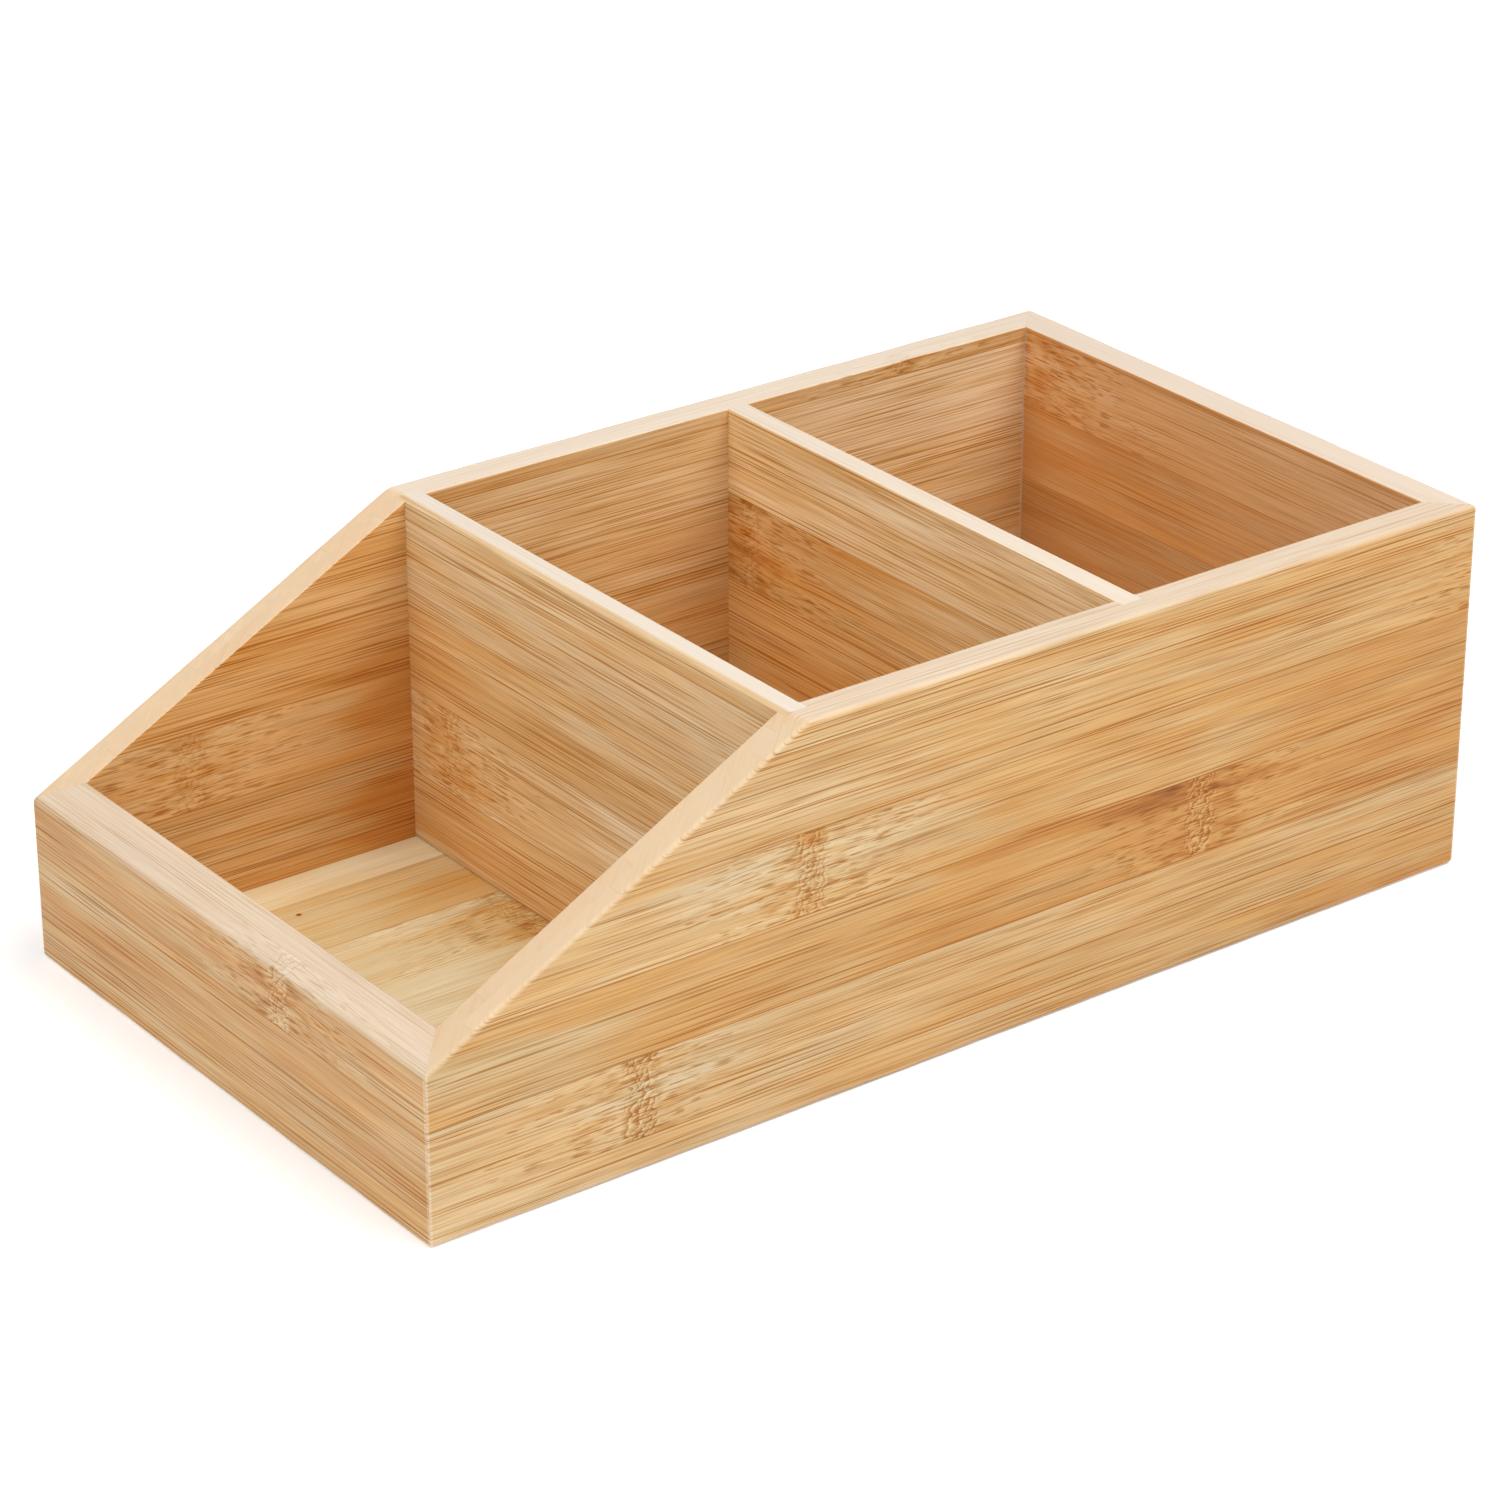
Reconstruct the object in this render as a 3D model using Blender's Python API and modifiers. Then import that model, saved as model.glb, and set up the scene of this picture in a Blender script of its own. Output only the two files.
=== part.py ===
"""A bamboo storage box with three open compartments and a cut-down, sloping front.

Four wall boards are mitred at the corners. Two dividers are housed in grooves across the side
boards, and a floor board lies in a rebate along the lower inside edges of the walls. Units are
metres, +Z is up and the low front faces -Y. The origin is on the standing plane, under the middle
of the box.
"""
import math

import bmesh
import bpy
from mathutils import Matrix

# Overall size, over the walls
BOX_LENGTH = 0.305
BOX_WIDTH = 0.1675
BOX_HEIGHT = 0.0965
FRONT_HEIGHT = 0.0423

# Boards
WALL_THICKNESS = 0.0095
DIVIDER_THICKNESS = 0.0062
FLOOR_THICKNESS = 0.005

# The floor's underside stays this far above the standing plane, so that the walls carry the box
FLOOR_LIFT = 0.0005

# Joints between the boards
HOUSING_DEPTH = 0.003
REBATE_DEPTH = 0.004
GLUE_GAP = 0.0003

# The slope meets the level rim this far behind the front divider's face, in a small round
KNEE_SETBACK = 0.0012
KNEE_RADIUS = 0.006
KNEE_STEPS = 6

# Sanded outer edges: the rim and the foot are eased more than the upright corners
RIM_EASE = 0.0012
CORNER_EASE = 0.0006
EASE_STEPS = 3
LEAST_EDGE_ANGLE = math.radians(30)

# How far cutters and blanks run past what they cut
OVERRUN = 0.006

# Points closer than this are one point, and faces flatter than this are one face
WELD_DISTANCE = 0.00001
FLAT_ANGLE = math.radians(0.5)

# Places that follow from the sizes
DIVIDER_NAMES = ("front_divider", "rear_divider")
HALF_LENGTH = BOX_LENGTH / 2
HALF_WIDTH = BOX_WIDTH / 2
INNER_HALF_LENGTH = HALF_LENGTH - WALL_THICKNESS
INNER_HALF_WIDTH = HALF_WIDTH - WALL_THICKNESS
FLOOR_TOP = FLOOR_LIFT + FLOOR_THICKNESS
DIVIDER_FOOT = FLOOR_TOP + GLUE_GAP
CLEAR_LENGTH = 2 * INNER_HALF_LENGTH - len(DIVIDER_NAMES) * DIVIDER_THICKNESS
COMPARTMENT_LENGTH = CLEAR_LENGTH / (len(DIVIDER_NAMES) + 1)
DIVIDER_PITCH = COMPARTMENT_LENGTH + DIVIDER_THICKNESS
DIVIDER_FACES = [
    -INNER_HALF_LENGTH + COMPARTMENT_LENGTH + number * DIVIDER_PITCH
    for number in range(len(DIVIDER_NAMES))
]
KNEE_Y = DIVIDER_FACES[0] + KNEE_SETBACK
SLOPE_ANGLE = math.atan2(BOX_HEIGHT - FRONT_HEIGHT, KNEE_Y + HALF_LENGTH)
MITRE_STEP = GLUE_GAP / math.sqrt(2)

# Colours of the boards, linear RGBA, and their satin finish
SIDE_COLOUR = (0.66, 0.39, 0.17, 1.0)
FRONT_COLOUR = (0.63, 0.41, 0.22, 1.0)
REAR_COLOUR = (0.60, 0.35, 0.14, 1.0)
DIVIDER_COLOURS = ((0.58, 0.34, 0.15, 1.0), (0.55, 0.30, 0.12, 1.0))
FLOOR_COLOUR = (0.68, 0.44, 0.22, 1.0)
BOARD_ROUGHNESS = 0.45

# Turns an outline's own plane, where x runs back and y runs up, to stand along the box
SIDE_ON = Matrix(((0, 0, 1), (1, 0, 0), (0, 1, 0))).to_4x4()
IN_PLAN = Matrix.Identity(4)


def clear_scene():
    """Removes whatever the scene holds."""
    for item in list(bpy.data.objects):
        bpy.data.objects.remove(item, do_unlink=True)


def new_collection(name):
    """Adds a collection under the scene's own."""
    group = bpy.data.collections.new(name)
    bpy.context.scene.collection.children.link(group)
    return group


def bamboo(name, colour):
    """A satin bamboo finish in one colour."""
    material = bpy.data.materials.new(name)
    material.use_nodes = True
    shader = material.node_tree.nodes["Principled BSDF"]
    shader.inputs["Base Color"].default_value = colour
    shader.inputs["Roughness"].default_value = BOARD_ROUGHNESS
    shader.inputs["Metallic"].default_value = 0.0
    material.diffuse_color = colour
    return material


def block(name, low, high, group):
    """A plain box between two corners."""
    size = [top - bottom for bottom, top in zip(low, high)]
    work = bmesh.new()
    bmesh.ops.create_cube(work, size=1)
    bmesh.ops.scale(work, vec=size, verts=work.verts)
    mesh = bpy.data.meshes.new(name)
    work.to_mesh(mesh)
    work.free()
    piece = bpy.data.objects.new(name, mesh)
    piece.location = [(bottom + top) / 2 for bottom, top in zip(low, high)]
    group.objects.link(piece)
    return piece


def tidied(mesh):
    """Joins the loose caps of an extruded outline to its sides, and clears edges inside flat faces."""
    work = bmesh.new()
    work.from_mesh(mesh)
    bmesh.ops.remove_doubles(work, verts=work.verts, dist=WELD_DISTANCE)
    bmesh.ops.dissolve_limit(work, angle_limit=FLAT_ANGLE, verts=work.verts, edges=work.edges)
    bmesh.ops.recalc_face_normals(work, faces=work.faces)
    work.to_mesh(mesh)
    work.free()
    return mesh


def plate(name, outline, thickness, stance, height, group):
    """A flat outline, filled and extruded both ways, as a mesh that other pieces can cut."""
    curve = bpy.data.curves.new(name + "_outline", "CURVE")
    curve.dimensions = "2D"
    curve.fill_mode = "BOTH"
    curve.extrude = thickness / 2
    spline = curve.splines.new("POLY")
    spline.points.add(len(outline) - 1)
    for point, (across, along) in zip(spline.points, outline):
        point.co = (across, along, 0, 1)
    spline.use_cyclic_u = True
    drawn = bpy.data.objects.new(name + "_outline", curve)
    group.objects.link(drawn)
    drawn.matrix_world = Matrix.Translation((0, 0, height)) @ stance
    bpy.context.view_layer.update()
    graph = bpy.context.evaluated_depsgraph_get()
    mesh = tidied(bpy.data.meshes.new_from_object(drawn.evaluated_get(graph)))
    mesh.name = name
    piece = bpy.data.objects.new(name, mesh)
    piece.matrix_world = drawn.matrix_world
    group.objects.link(piece)
    bpy.data.objects.remove(drawn, do_unlink=True)
    return piece


def as_cutter(piece):
    """Keeps a cutter out of the finished box."""
    piece.hide_render = True
    piece.display_type = "WIRE"
    return piece


def cut(piece, operation, cutter):
    """Cuts a piece with another, by taking it away or by keeping what both hold."""
    modifier = piece.modifiers.new(cutter.name, "BOOLEAN")
    modifier.operation = operation
    modifier.solver = "EXACT"
    modifier.object = cutter
    return piece


def knee_arc():
    """Points of the small round where the slope meets the level rim, back to front."""
    tangent = KNEE_RADIUS * math.tan(SLOPE_ANGLE / 2)
    centre_y = KNEE_Y + tangent
    centre_z = BOX_HEIGHT - KNEE_RADIUS
    turns = [math.pi / 2 + SLOPE_ANGLE * step / KNEE_STEPS for step in range(KNEE_STEPS + 1)]
    return [
        (centre_y + KNEE_RADIUS * math.cos(turn), centre_z + KNEE_RADIUS * math.sin(turn))
        for turn in turns
    ]


def mark_eased_edges(mesh):
    """Weights the outer edges for the Bevel: whole on the rim and foot, less on upright corners."""
    work = bmesh.new()
    work.from_mesh(mesh)
    weights = work.edges.layers.float.new("bevel_weight_edge")
    for edge in work.edges:
        first, second = edge.verts
        along = second.co - first.co
        upright = abs(along.y) > abs(along.x) + abs(along.z)
        if edge.calc_face_angle() > LEAST_EDGE_ANGLE:
            edge[weights] = CORNER_EASE / RIM_EASE if upright else 1
    work.to_mesh(mesh)
    work.free()


def sanded_shape(cutters):
    """The outside of the whole box after sanding, which every upright board is trimmed to."""
    outline = [
        (-HALF_LENGTH, 0),
        (HALF_LENGTH, 0),
        (HALF_LENGTH, BOX_HEIGHT),
        *knee_arc(),
        (-HALF_LENGTH, FRONT_HEIGHT),
    ]
    shape = plate("sanded_outside", outline, BOX_WIDTH, SIDE_ON, 0, cutters)
    mark_eased_edges(shape.data)
    ease = shape.modifiers.new("eased_edges", "BEVEL")
    ease.limit_method = "WEIGHT"
    ease.width = RIM_EASE
    ease.segments = EASE_STEPS
    return as_cutter(shape)


def floor_rebate(cutters):
    """What the rebate along the walls' lower inside edges takes away."""
    reach_x = INNER_HALF_WIDTH + REBATE_DEPTH + GLUE_GAP
    reach_y = INNER_HALF_LENGTH + REBATE_DEPTH + GLUE_GAP
    low = (-reach_x, -reach_y, -OVERRUN)
    return as_cutter(block("floor_rebate", low, (reach_x, reach_y, DIVIDER_FOOT), cutters))


def mitred_outline(inner_half_span, inner_face, grooves):
    """A wall board seen from above, as (along, across): square inside, mitred at both ends.

    The outer face runs past the box, because the board is trimmed to the sanded outside later.
    """
    end = inner_half_span - MITRE_STEP
    reach = WALL_THICKNESS + OVERRUN
    groove_face = inner_face + HOUSING_DEPTH + GLUE_GAP
    points = [(-end, inner_face)]
    for face in grooves:
        start, stop = face - GLUE_GAP, face + DIVIDER_THICKNESS + GLUE_GAP
        points += [
            (start, inner_face), (start, groove_face), (stop, groove_face), (stop, inner_face),
        ]
    points += [(end, inner_face), (end + reach, inner_face + reach)]
    points += [(-end - reach, inner_face + reach)]
    return points


def wall(name, outline, colour, outside, rebate, group):
    """A wall board: its plan carried up, trimmed to the sanded outside and rebated for the floor."""
    tall = BOX_HEIGHT + 2 * OVERRUN
    piece = plate(name, outline, tall, IN_PLAN, BOX_HEIGHT / 2, group)
    cut(piece, "INTERSECT", outside)
    cut(piece, "DIFFERENCE", rebate)
    piece.data.materials.append(bamboo(name + "_bamboo", colour))
    return piece


def side_boards(outside, rebate, group):
    """The two long boards, with a groove for the end of each divider."""
    plan = mitred_outline(INNER_HALF_LENGTH, INNER_HALF_WIDTH, DIVIDER_FACES)
    for name, side in (("left_side", -1), ("right_side", 1)):
        outline = [(side * across, along) for along, across in plan]
        wall(name, outline, SIDE_COLOUR, outside, rebate, group)


def end_boards(outside, rebate, group):
    """The low front board, whose top follows the slope, and the full-height rear board."""
    plan = mitred_outline(INNER_HALF_WIDTH, INNER_HALF_LENGTH, ())
    for name, end, colour in (("front_panel", -1, FRONT_COLOUR), ("rear_panel", 1, REAR_COLOUR)):
        outline = [(along, end * across) for along, across in plan]
        wall(name, outline, colour, outside, rebate, group)


def dividers(outside, group):
    """The two thin boards across the box, whose ends stand in the side boards' grooves."""
    reach = INNER_HALF_WIDTH + HOUSING_DEPTH
    for name, face, colour in zip(DIVIDER_NAMES, DIVIDER_FACES, DIVIDER_COLOURS):
        low = (-reach, face, DIVIDER_FOOT)
        high = (reach, face + DIVIDER_THICKNESS, BOX_HEIGHT + OVERRUN)
        piece = block(name, low, high, group)
        cut(piece, "INTERSECT", outside)
        piece.data.materials.append(bamboo(name + "_bamboo", colour))


def floor_board(group):
    """The floor, whose edges lie in the rebate."""
    reach_x = INNER_HALF_WIDTH + REBATE_DEPTH
    reach_y = INNER_HALF_LENGTH + REBATE_DEPTH
    low = (-reach_x, -reach_y, FLOOR_LIFT)
    piece = block("floor_panel", low, (reach_x, reach_y, FLOOR_TOP), group)
    piece.data.materials.append(bamboo("floor_panel_bamboo", FLOOR_COLOUR))


def build():
    """Makes the whole box."""
    clear_scene()
    parts = new_collection("compartment_storage_box")
    cutters = new_collection("cutters")
    outside = sanded_shape(cutters)
    rebate = floor_rebate(cutters)
    side_boards(outside, rebate, parts)
    end_boards(outside, rebate, parts)
    dividers(outside, parts)
    floor_board(parts)
    bpy.context.view_layer.update()


build()
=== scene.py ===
# %% [markdown]
# # An open bamboo storage box, made board by board
# The real object is a kitchen or desk bin: four wall boards mitred at the corners, two thin
# dividers let into grooves, and a floor lying in a rebate. Every board is strip bamboo, which means
# bamboo culms split into flat strips about 20 mm wide, steamed to a honey colour, glued edge to edge
# and planed. This lesson shapes each board with numpy, then makes one bamboo finish from nodes and
# fits it to each board: the direction of the grain, the strips' joints and the knuckles where the
# culm had its joints.

import math
from types import SimpleNamespace

import bmesh
import bpy
import numpy as np
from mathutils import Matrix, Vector


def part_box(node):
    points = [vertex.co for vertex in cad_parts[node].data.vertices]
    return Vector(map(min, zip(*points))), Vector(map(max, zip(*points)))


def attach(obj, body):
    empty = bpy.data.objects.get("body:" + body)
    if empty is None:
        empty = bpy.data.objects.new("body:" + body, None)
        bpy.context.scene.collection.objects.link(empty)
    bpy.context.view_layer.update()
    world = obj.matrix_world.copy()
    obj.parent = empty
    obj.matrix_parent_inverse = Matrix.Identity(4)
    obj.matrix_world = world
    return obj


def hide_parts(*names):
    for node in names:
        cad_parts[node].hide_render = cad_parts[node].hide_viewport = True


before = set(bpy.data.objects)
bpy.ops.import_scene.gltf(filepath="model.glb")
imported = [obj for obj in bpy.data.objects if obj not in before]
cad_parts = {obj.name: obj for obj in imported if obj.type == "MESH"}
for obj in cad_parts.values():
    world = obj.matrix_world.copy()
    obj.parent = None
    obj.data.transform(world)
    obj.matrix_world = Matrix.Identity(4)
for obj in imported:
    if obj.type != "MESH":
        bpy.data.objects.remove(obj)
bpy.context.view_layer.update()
print("boards in the frame:", sorted(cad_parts))

# %% [markdown]
# ## The sizes that all the boards share
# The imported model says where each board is, so most sizes are read off it. A maker works in
# millimetres, so everything here does too, and only the finished mesh is turned to metres. Three
# sizes can't be read off a bounding box: how low the front is, and where and how roundly the slope
# meets the level rim.

# %% Sizes in millimetres
MILLIMETRE = 0.001


def box_mm(node):
    """Lowest and highest corner of a packed board, in millimetres."""
    return [np.array(corner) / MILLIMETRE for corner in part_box(node)]


side_low, side_high = box_mm("right_side")
rear_low, rear_high = box_mm("rear_panel")
floor_low, floor_high = box_mm("floor_panel")

half_width = side_high[0]
half_length = rear_high[1]
height = side_high[2]
inner_half_width = side_low[0]
inner_half_length = rear_low[1]
wall_thickness = half_width - inner_half_width

FRONT_HEIGHT = 42.3
KNEE_SETBACK = 1.2
KNEE_RADIUS = 6.0

knee_y = box_mm("front_divider")[0][1] + KNEE_SETBACK
slope = (height - FRONT_HEIGHT) / (knee_y + half_length)
slope_angle = math.atan(slope)
knee_centre_y = knee_y + KNEE_RADIUS * math.tan(slope_angle / 2)
knee_centre_z = height - KNEE_RADIUS
knee_front_y = knee_centre_y - KNEE_RADIUS * math.sin(slope_angle)

print(f"box {2 * half_width:.1f} x {2 * half_length:.1f} x {height:.1f} mm, walls {wall_thickness:.1f}")
print(f"slope {math.degrees(slope_angle):.1f} degrees, knee {knee_y:.1f} mm from the middle")

# %% [markdown]
# ## The line that the top edges follow
# The side boards are sawn down from full height to the low front, and the saw line has a small
# round where it meets the level rim. One function of the place front to back gives that height, and
# the boards, the dividers and the front board's bevelled top all ask it, so they always meet.


# %% Height of the top edge
def top_height(along_box):
    """Height of the box's top at a place front to back, in millimetres.

    In words: on the slope the height grows evenly with the distance from the front, behind the knee
    it is the full height, and between them it is the top of a circle that touches both lines.
    """
    on_slope = FRONT_HEIGHT + (along_box + half_length) * slope
    from_centre = np.clip(along_box - knee_centre_y, -KNEE_RADIUS, 0)
    on_knee = knee_centre_z + np.sqrt(KNEE_RADIUS**2 - from_centre**2)
    return np.where(along_box <= knee_front_y, on_slope, on_knee)


for place in (-half_length, knee_y, half_length):
    print(f"top at {place:7.1f} mm: {float(top_height(place)):.2f} mm")

# %% [markdown]
# ## Eased corners
# Nothing on a sanded board is truly sharp. The rim and the foot of this box are eased by more than
# a millimetre, the other edges by a hair. A Bevel modifier could do this, but it would also cut the
# mitred tips, so the easing is worked out here: each corner of a board's cross-section is replaced
# by a small arc of a circle.

# %% Rounds the corners of many cross-sections at once
ARC_STEPS = 7
ARC = np.linspace(0, 1, ARC_STEPS + 1)
HOLD = 0.25


def eased(corners, reach):
    """Rounds the corners of closed outlines: corners is (rings, corners, 2), reach (rings, corners).

    In words: A lies `reach` before the corner C and B `reach` after it. The arc is the weighted mean
    of A, C and B with weights (1-t)^2, 2t(1-t)w and t^2, where w is the cosine of half the turn,
    which makes it part of a circle. A point HOLD before A and one HOLD after B keep the shading of
    the flats beside the arc flat.
    """
    before = np.roll(corners, 1, axis=1) - corners
    after = np.roll(corners, -1, axis=1) - corners
    before /= np.linalg.norm(before, axis=2, keepdims=True)
    after /= np.linalg.norm(after, axis=2, keepdims=True)
    weight = np.sqrt(np.clip(1 - (before * after).sum(2), 0, 2) / 2)[:, :, None, None]
    far = reach[:, :, None]
    start = (corners + before * far)[:, :, None]
    stop = (corners + after * far)[:, :, None]
    middle = corners[:, :, None]
    t = ARC[None, None, :, None]
    shares = (1 - t) ** 2, 2 * t * (1 - t) * weight, t**2
    arc = (shares[0] * start + shares[1] * middle + shares[2] * stop) / sum(shares)
    held_before = (corners + before * (far + HOLD))[:, :, None]
    held_after = (corners + after * (far + HOLD))[:, :, None]
    points = np.concatenate([held_before, arc, held_after], axis=2)
    return points.reshape(len(corners), -1, 2)


def around(before, after):
    """A value for each point of an eased outline: it runs from `before` to `after` round each arc."""
    ramp = np.concatenate([[0], ARC, [1]])
    before, after = np.array(before, float)[:, None], np.array(after, float)[:, None]
    return (before + (after - before) * ramp).ravel()


# %% [markdown]
# ## From rings to a board
# A board is a row of closed rings, each one cross-section, skinned like the hull of a boat and
# closed at both ends. Two values are kept on its points for the finish: `edge` is 1 on the narrow
# edges of the board and 0 on its wide faces, and `sawn` is 1 where the saw crossed the fibres. The
# finish makes the edges paler, partly as sanded wood and partly as a painted highlight.

# %% Skins rings into one closed mesh
CENTIMETRE = 0.01
WELD = 0.000001
CREASE = math.radians(24)
boards = {}


def skin(name, rings, edge, sawn):
    """Makes a closed board from rings, an array (rings, points, 3) in millimetres.

    In words: point j of ring i is joined to point j+1 and to the same two points of ring i+1, and
    the first and last rings are filled. Points in one place are merged, and if the signed volume,
    a sixth of the sum of a.(b x c) over the triangles, is negative, all faces are turned round.
    """
    count, size = rings.shape[:2]
    first = np.arange(size)
    following = np.roll(first, -1)
    base = np.arange(count - 1)[:, None] * size
    quads = np.stack([base + first, base + following, base + size + following, base + size + first], 2)
    ends = [first[::-1].tolist(), (first + (count - 1) * size).tolist()]
    mesh = bpy.data.meshes.new(name)
    points = rings.reshape(-1, 3) * MILLIMETRE
    mesh.from_pydata(points.tolist(), [], quads.reshape(-1, 4).tolist() + ends)
    for word, values in (("edge", edge), ("sawn", sawn)):
        layer = mesh.attributes.new(word, "FLOAT", "POINT")
        values = np.broadcast_to(values, (count, size)).astype(np.float32)
        layer.data.foreach_set("value", values.ravel())
    work = bmesh.new()
    work.from_mesh(mesh)
    bmesh.ops.remove_doubles(work, verts=work.verts, dist=WELD)
    if work.calc_volume(signed=True) < 0:
        bmesh.ops.reverse_faces(work, faces=work.faces)
    volume = work.calc_volume(signed=True)
    loose = sum(not side.is_manifold for side in work.edges)
    work.to_mesh(mesh)
    work.free()
    mesh.polygons.foreach_set("use_smooth", np.ones(len(mesh.polygons), bool))
    mesh.set_sharp_from_angle(angle=CREASE)
    piece = bpy.data.objects.new(name, mesh)
    bpy.context.scene.collection.objects.link(piece)
    boards[name] = piece
    print(f"{name}: {len(mesh.polygons)} faces, {volume / CENTIMETRE**3:.1f} cm3, open edges {loose}")
    return piece


# %% [markdown]
# ## How round each edge is
# The rim and the foot of the box are sanded by hand, so their roundness varies a little along the
# board. Two sine waves of different lengths give that. Edges inside a joint stay sharp, to fit.

# %% Eases of the edges in millimetres, and the hand sanding
RIM_EASE = 1.2
INNER_EASE = 0.3
HAIR_EASE = 0.12
FITTED_EASE = 0.02
CORNER_EASE = 0.6
# Each wave of the hand sanding: its height as a share of the easing, its length, where it starts
SANDING_WAVES = ((0.10, 47.0, 1.3), (0.06, 17.0, 0.4))
SANDING_STILL = 12.0


def sanding(along, half_span):
    """What the hand sanding multiplies the easing by: 1 plus the waves, which die out at the ends."""
    waves = sum(high * np.sin(2 * np.pi * along / wave + phase) for high, wave, phase in SANDING_WAVES)
    return 1 + waves * np.clip((half_span - np.abs(along)) / SANDING_STILL, 0, 1)


print("the rim is eased by", RIM_EASE, "mm, more or less by", sum(high for high, *_ in SANDING_WAVES))

# %% [markdown]
# ## The four wall boards
# Each wall is a flat board whose ends are cut at 45 degrees so that the grain turns the corner. In
# plan, a ring near an end leans over to the mitre, and the rings in the middle stand square, where
# the grooves for the dividers are. A groove is two rings in one place, one at the inner face and
# one at the bottom of the groove. The tips at the corners of the box share one small upright arc.

# %% Sets out the rings of a wall
JOINT = 0.015
STATION = 3.0
GROOVE_STEP = 0.0002
CORNER_RINGS = 5
TIP_INSET = 0.3
ALMOST_AT_TIP = 0.997

divider_boxes = [box_mm(name) for name in ("front_divider", "rear_divider")]
groove_depth = divider_boxes[0][1][0] - inner_half_width + JOINT
groove_places = [(low[1] - JOINT, high[1] + JOINT) for low, high in divider_boxes]


def stations(half_span, square, extra, grooves):
    """Where the rings of a wall stand: along the inner face, along the outer face, and both depths.

    In words: between -square and square the rings stand square to the board. Beyond, they lean
    evenly until they reach the mitre, and the last few turn round the upright corner's arc.
    """
    edges = np.array(grooves, float).ravel()
    middle = np.concatenate([
        np.linspace(-square, square, int(2 * square / STATION)),
        extra,
        edges - GROOVE_STEP,
        edges + GROOVE_STEP,
    ])
    middle = np.sort(middle)
    inside = np.zeros(len(middle), bool)
    for start, stop in grooves:
        inside |= (middle > start) & (middle < stop)
    turn = np.linspace(0, math.pi / 4, CORNER_RINGS)
    tip_out = half_span - JOINT - CORNER_EASE * (1 - np.sin(turn))
    tip_in = half_span - wall_thickness - JOINT - TIP_INSET * (1 - turn / turn[-1])
    lean = np.linspace(0, 1, int((half_span - square) / STATION))[1:-1]
    lean = np.append(lean, ALMOST_AT_TIP)
    end_in = np.concatenate([square + (tip_in[0] - square) * lean, tip_in])
    end_out = np.concatenate([square + (tip_out[0] - square) * lean, tip_out])
    tip_depth = wall_thickness - CORNER_EASE * (1 - np.cos(turn))
    end_depth = np.concatenate([np.full(len(lean), wall_thickness), tip_depth])
    along_in = np.concatenate([-end_in[::-1], middle, end_in])
    along_out = np.concatenate([-end_out[::-1], middle, end_out])
    depth_out = np.concatenate([end_depth[::-1], np.full(len(middle), wall_thickness), end_depth])
    still = np.zeros(len(end_in))
    depth_in = np.concatenate([still, inside * groove_depth, still])
    return along_in, along_out, depth_in, depth_out


print(f"the dividers' grooves are {groove_depth:.2f} mm deep")

# %% [markdown]
# A wall's cross-section has six corners: the inner face's two, the outer face's two, and two more
# for the rebate in which the floor lies. Its narrow edges are marked for the finish, and so is the
# saw's cut on the side boards' slope. At the upright corners a thin paler line is marked, partly
# sanded wood and partly a painted highlight.

# %% Draws the cross-sections of a wall
SAWN_FADE = 2.0
CORNER_SANDED_AND_HIGHLIT = 0.5

rebate_depth = floor_high[0] - inner_half_width + JOINT
ledge = floor_high[2] + JOINT


def wall(name, half_span, square, across_box, extra=(), grooves=()):
    """A mitred wall board. across_box turns (along, depth) into the box's x and y.

    In words: each ring goes up the inner face, over the rim, down the outer face and back along the
    foot and the floor's rebate. Its heights come from the top line at each corner's own place.
    """
    along_in, along_out, depth_in, depth_out = stations(half_span, square, extra, grooves)
    rebate = np.full(len(along_in), rebate_depth)
    depth = np.stack([depth_in, depth_in, depth_out, depth_out, rebate, rebate], 1)
    lean = ((along_out - along_in) / depth_out)[:, None]
    along = along_in[:, None] + lean * depth
    top = top_height(across_box(along, depth)[1])
    low, under = np.zeros(len(along_in)), np.full(len(along_in), ledge)
    up = np.stack([under, top[:, 1], top[:, 2], low, low, under], 1)
    fitted = depth_in > 0
    rim = RIM_EASE * sanding(along_out, half_span)
    inner = np.where(fitted, FITTED_EASE, INNER_EASE)
    hair = np.full(len(along_in), HAIR_EASE)
    reach = np.stack([hair, inner, rim, rim, hair, hair], 1)
    outline = eased(np.stack([depth, up], 2), reach)
    along = along_in[:, None] + lean * outline[:, :, 0]
    x, y = across_box(along, outline[:, :, 0])
    edge = around((1, 0, 1, 0, 1, 1), (0, 1, 0, 1, 1, 1))
    top_only = around((0, 0, 1, 0, 0, 0), (0, 1, 0, 0, 0, 0))
    on_slope = np.clip((knee_y - y) / SAWN_FADE + 0.5, 0, 1)
    sawn = top_only * on_slope * ("side" in name)
    # The upright corners' rings are marked paler: partly sanding, partly a painted highlight.
    tips = np.zeros((len(along_in), 1))
    tips[:CORNER_RINGS] = tips[-CORNER_RINGS:] = CORNER_SANDED_AND_HIGHLIT
    return skin(name, np.stack([x, y, outline[:, :, 1]], 2), np.maximum(edge, tips), sawn)


print(f"the floor's rebate is {rebate_depth:.2f} mm deep and {ledge:.2f} mm high")

# %% Cuts the side boards, then the end boards
KNEE_RINGS = 8
KNEE_MARGIN = 0.3
knee_places = knee_centre_y - KNEE_RADIUS * np.sin(np.linspace(0, slope_angle, KNEE_RINGS))
beside_knee = [knee_places[-1] - KNEE_MARGIN, knee_places[0] + KNEE_MARGIN]
knee_places = np.concatenate([knee_places, beside_knee])
SIDE_SQUARE = 54.0
END_SQUARE = 40.0

for name, hand in (("left_side_board", -1), ("right_side_board", 1)):
    wall(
        name, half_length, SIDE_SQUARE,
        lambda along, depth, hand=hand: (hand * (inner_half_width + depth), along),
        knee_places, groove_places,
    )
for name, hand in (("front_board", -1), ("rear_board", 1)):
    wall(
        name, half_width, END_SQUARE,
        lambda along, depth, hand=hand: (along, hand * (inner_half_length + depth)),
    )

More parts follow.
